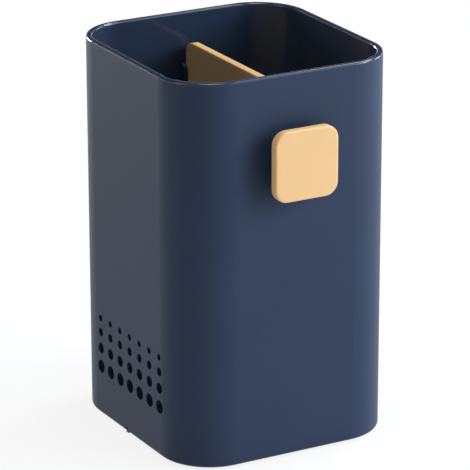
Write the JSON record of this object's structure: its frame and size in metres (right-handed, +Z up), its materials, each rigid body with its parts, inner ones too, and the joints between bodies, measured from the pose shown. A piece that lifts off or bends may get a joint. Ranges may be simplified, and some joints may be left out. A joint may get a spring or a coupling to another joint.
{
  "type": "chopstick holder",
  "caption": "Open rounded-square tub for chopsticks with side vents, an upright divider, a lift-out drain grid, a drip tray in its skirt and a square hook knob in front.",
  "frame": {"origin": "centre of the tub in the plane that it stands on", "axes": "+Z up to the rim, -Y is the front with the hook knob, the vents are in the -X and +X walls"},
  "size_m": [0.104, 0.1162, 0.17],
  "materials": {
    "tub_plastic": "satin moulded, dark blue",
    "accent_plastic": "satin moulded, pale tan",
    "steel": "bright zinc",
    "pad_rubber": "matte"
  },
  "bodies": {
    "tub": {"shell": "tub_plastic", "hook_knob": "accent_plastic", "hook_screw": "steel", "hook_washer": "steel", "foot_front_left": "pad_rubber", "foot_front_right": "pad_rubber", "foot_back_left": "pad_rubber", "foot_back_right": "pad_rubber"},
    "grid": {"drain_grid": "tub_plastic"},
    "divider": {"divider": "accent_plastic"},
    "tray": {"drip_tray": "tub_plastic"}
  },
  "joints": [
    {"name": "grid_lift", "type": "slide", "parent": "tub", "child": "grid", "axis": [0, 0, 1], "range_m": [0, 0.16]},
    {"name": "divider_lift", "type": "slide", "parent": "grid", "child": "divider", "axis": [0, 0, 1], "range_m": [0, 0.158]},
    {"name": "tray_drop", "type": "slide", "parent": "tub", "child": "tray", "axis": [0, 0, -1], "range_m": [0, 0.02]}
  ]
}
